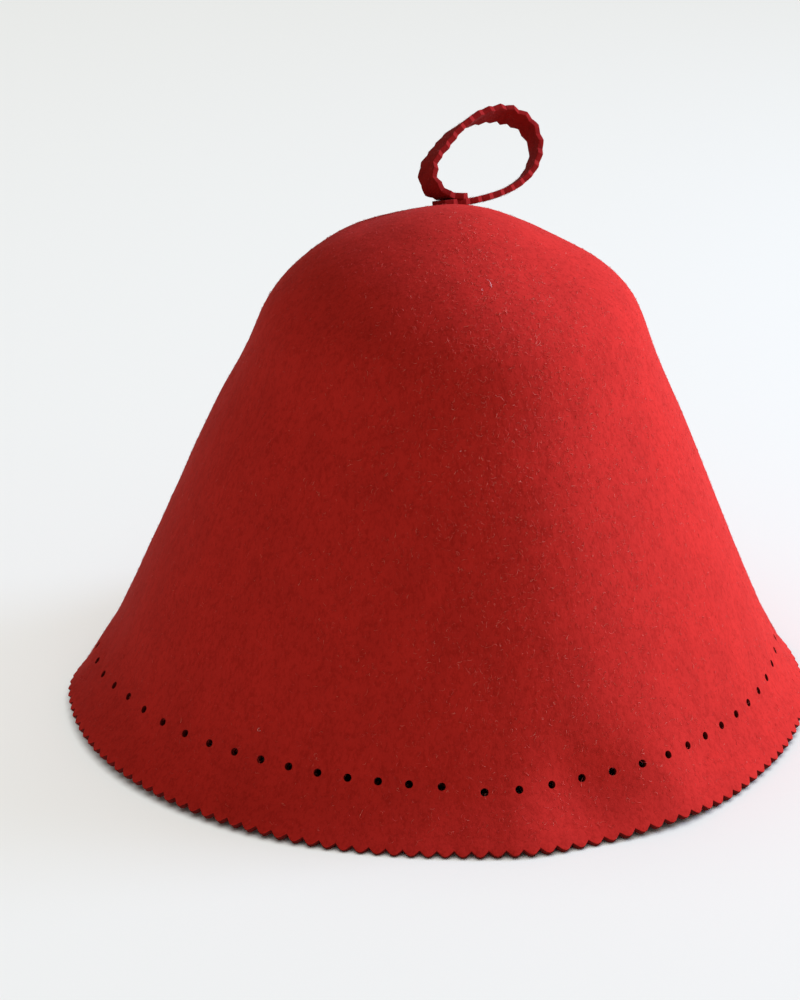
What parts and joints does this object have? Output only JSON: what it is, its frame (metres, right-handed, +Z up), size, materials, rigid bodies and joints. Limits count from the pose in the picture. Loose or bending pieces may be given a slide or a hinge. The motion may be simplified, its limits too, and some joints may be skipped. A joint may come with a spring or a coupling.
{
  "type": "sauna hat",
  "caption": "Bell-shaped sauna hat of thick moulded wool felt, with a flared pinked rim, a row of punched holes above it and an upright pinked felt hanging loop behind the crown's top.",
  "frame": {"origin": "on the floor plane that the rim rests on, at the centre of the rim", "axes": "+Z up through the crown, -Y to the hat's front as the picture shows it, +X to the right in the picture"},
  "size_m": [0.3207, 0.3198, 0.2406],
  "materials": {
    "red_felt": "dull milled wool felt, dyed red through, with a fine raised nap",
    "loop_felt": "dull milled wool felt, dyed dark red through, with cut pinked edges"
  },
  "bodies": {
    "root": {"hat_body": "red_felt", "hanging_loop": "loop_felt"}
  },
  "joints": []
}
